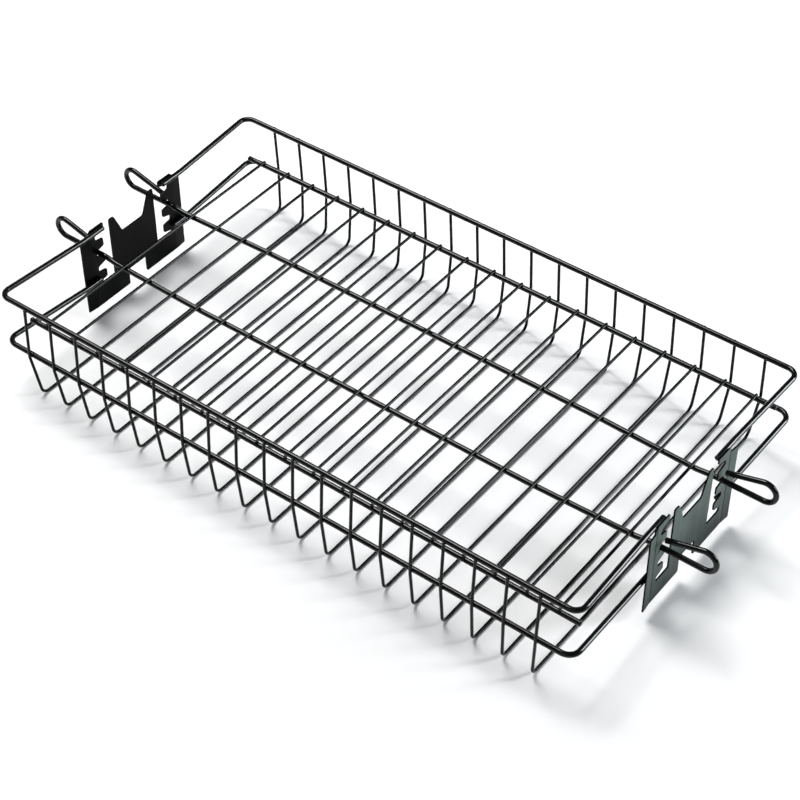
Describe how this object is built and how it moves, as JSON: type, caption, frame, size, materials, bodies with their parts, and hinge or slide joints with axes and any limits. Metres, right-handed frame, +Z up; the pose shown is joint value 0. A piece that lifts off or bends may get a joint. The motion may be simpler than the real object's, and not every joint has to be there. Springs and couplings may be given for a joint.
{
  "type": "rotisserie grill basket",
  "caption": "Black-coated wire rotisserie basket: ribbed tray with toothed end plates, and a wire lid held at a chosen height by two squeezable latch rods with finger loops.",
  "frame": {"origin": "middle of the footprint, on the floor under the ribs", "axes": "+X along the length from one end plate to the other, +Y from front to back, +Z up"},
  "size_m": [0.5672, 0.2768, 0.081],
  "materials": {
    "thick_wire": "gloss black heat-resistant coating on round steel wire",
    "thin_wire": "gloss black heat-resistant coating on thin round steel wire",
    "latch_wire": "gloss black heat-resistant coating on round spring wire",
    "plate_coating": "satin black heat-resistant coating on pressed steel sheet"
  },
  "bodies": {
    "basket": {"upper_rim_front": "thick_wire", "upper_rim_back": "thick_wire", "lower_rim_front": "thick_wire", "lower_rim_back": "thick_wire", "rib_wire_01": "thin_wire", "rib_wire_02": "thin_wire", "rib_wire_03": "thin_wire", "rib_wire_04": "thin_wire", "rib_wire_05": "thin_wire", "rib_wire_06": "thin_wire", "rib_wire_07": "thin_wire", "rib_wire_08": "thin_wire", "rib_wire_09": "thin_wire", "rib_wire_10": "thin_wire", "rib_wire_11": "thin_wire", "rib_wire_12": "thin_wire", "rib_wire_13": "thin_wire", "rib_wire_14": "thin_wire", "rib_wire_15": "thin_wire", "rib_wire_16": "thin_wire", "rib_wire_17": "thin_wire", "rib_wire_18": "thin_wire", "rib_wire_19": "thin_wire", "end_plate_left": "plate_coating", "end_plate_right": "plate_coating"},
    "lid": {"lid_rail_front": "thick_wire", "lid_rail_back": "thick_wire", "lid_wire_01": "thin_wire", "lid_wire_02": "thin_wire", "lid_wire_03": "thin_wire", "lid_wire_04": "thin_wire", "lid_wire_05": "thin_wire", "lid_wire_06": "thin_wire", "lid_wire_07": "thin_wire", "lid_wire_08": "thin_wire", "lid_wire_09": "thin_wire", "lid_wire_10": "thin_wire", "lid_wire_11": "thin_wire", "lid_wire_12": "thin_wire", "lid_wire_13": "thin_wire", "lid_wire_14": "thin_wire", "lid_wire_15": "thin_wire", "lid_wire_16": "thin_wire", "lid_wire_17": "thin_wire", "lid_wire_18": "thin_wire", "lid_wire_19": "thin_wire"},
    "front_rod": {"latch_rod_front": "latch_wire"},
    "back_rod": {"latch_rod_back": "latch_wire"}
  },
  "joints": [
    {"name": "lid_lift", "type": "slide", "parent": "basket", "child": "lid", "axis": [0, 0, 1], "range_m": [-0.029, 0.058]},
    {"name": "front_rod_squeeze", "type": "slide", "parent": "lid", "child": "front_rod", "axis": [0, 1, 0], "range_m": [0, 0.0095], "stiffness_N_per_m": 1500},
    {"name": "back_rod_squeeze", "type": "slide", "parent": "lid", "child": "back_rod", "axis": [0, -1, 0], "range_m": [0, 0.0095], "stiffness_N_per_m": 1500}
  ],
  "couplings": [
    {"joint": "back_rod_squeeze", "follows": "front_rod_squeeze", "ratio": 1}
  ]
}
